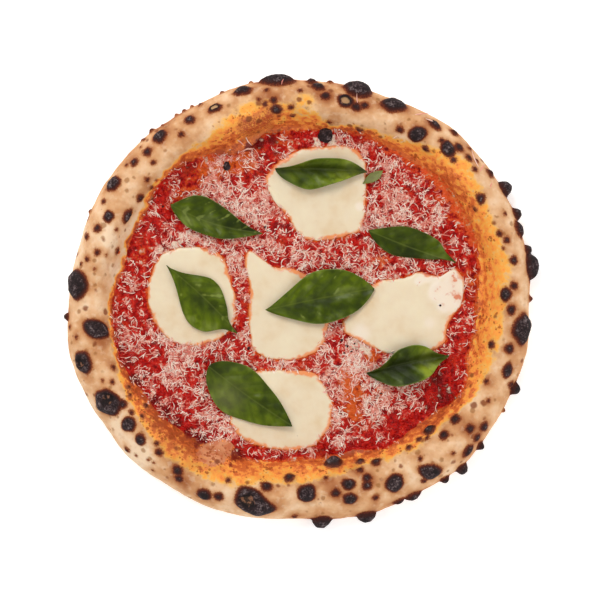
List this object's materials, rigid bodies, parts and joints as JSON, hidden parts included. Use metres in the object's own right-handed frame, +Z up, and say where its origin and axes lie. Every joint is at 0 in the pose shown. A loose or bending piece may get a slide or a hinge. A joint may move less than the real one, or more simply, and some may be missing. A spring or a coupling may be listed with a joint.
{
  "type": "margherita pizza",
  "caption": "Whole round pizza with a puffed, blistered crust, tomato sauce under grated cheese, pools of melted mozzarella and fresh basil leaves.",
  "frame": {"origin": "on the table, under the middle of the pizza", "axes": "+Z up; +X along the pizza's longer width, towards the right of the mozzarella pool with the widest edge; +Y towards the pool with the folded leaf on it"},
  "size_m": [0.3046, 0.2899, 0.0275],
  "materials": {
    "baked_dough": "matte, floury, with charred blisters",
    "tomato_sauce": "wet, under grated cheese",
    "mozzarella": "smooth, slightly wet",
    "basil": "satin, waxy"
  },
  "bodies": {
    "root": {"crust": "baked_dough", "tomato_sauce": "tomato_sauce", "mozzarella_top": "mozzarella", "mozzarella_left": "mozzarella", "mozzarella_middle": "mozzarella", "mozzarella_right": "mozzarella", "mozzarella_bottom": "mozzarella", "basil_top": "basil", "basil_upper_left": "basil", "basil_left": "basil", "basil_middle": "basil", "basil_right": "basil", "basil_lower_right": "basil", "basil_bottom": "basil", "basil_sprig": "basil"}
  },
  "joints": []
}
